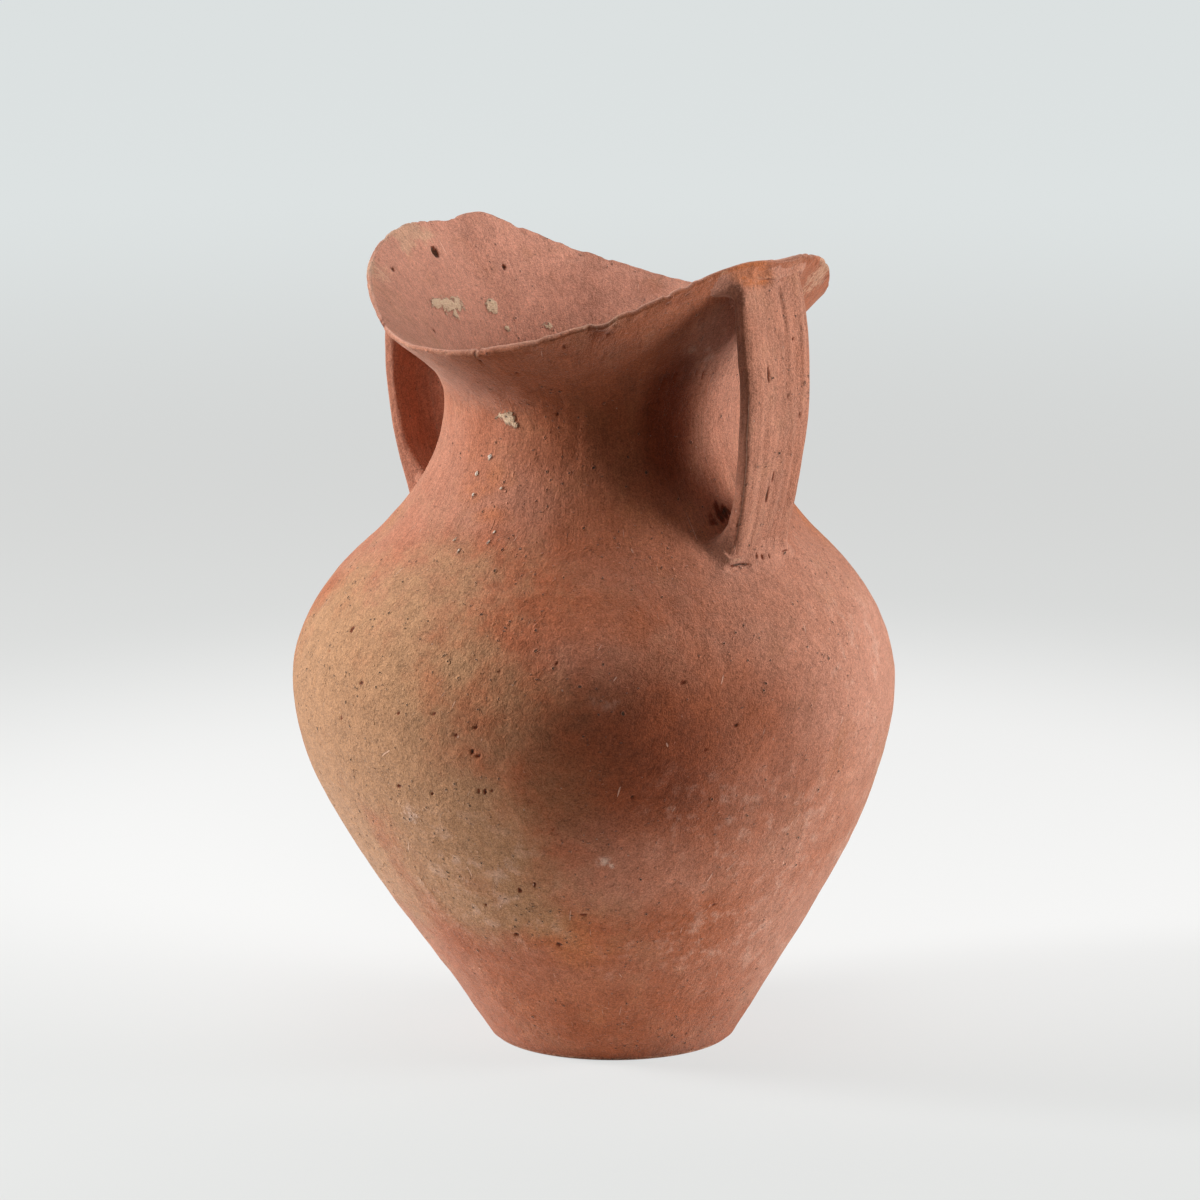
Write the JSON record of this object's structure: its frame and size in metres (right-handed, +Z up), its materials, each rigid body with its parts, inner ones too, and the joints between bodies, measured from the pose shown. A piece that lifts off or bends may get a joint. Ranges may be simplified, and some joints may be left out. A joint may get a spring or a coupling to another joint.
{
  "type": "two-handled pottery jar",
  "caption": "Hand-built earthenware jar with a wide belly, small flat foot, narrow neck, saddle-shaped flaring mouth and strap handles from rim to shoulder; it stores and pours liquid.",
  "frame": {"origin": "middle of the flat foot, on the surface that the jar stands on", "axes": "+Z up, +X from the foot's middle towards the right handle, +Y to the side between the handles"},
  "size_m": [0.2406, 0.2406, 0.3238],
  "materials": {
    "fired_clay": "matte unglazed red-orange earthenware, smoothed by hand, with a buff fire cloud and smoky patches",
    "luting_clay": "matte unglazed earthenware, slightly paler, with finger and tool marks"
  },
  "bodies": {
    "root": {"base_disc": "fired_clay", "wall_coil_1": "fired_clay", "wall_coil_2": "fired_clay", "wall_coil_3": "fired_clay", "wall_coil_4": "fired_clay", "wall_coil_5": "fired_clay", "wall_coil_6": "fired_clay", "wall_coil_7": "fired_clay", "wall_coil_8": "fired_clay", "neck_coil": "fired_clay", "mouth_coil": "fired_clay", "rim_coil": "fired_clay", "right_handle": "fired_clay", "right_handle_top_luting": "luting_clay", "right_handle_root_luting": "luting_clay", "left_handle": "fired_clay", "left_handle_top_luting": "luting_clay", "left_handle_root_luting": "luting_clay"}
  },
  "joints": []
}
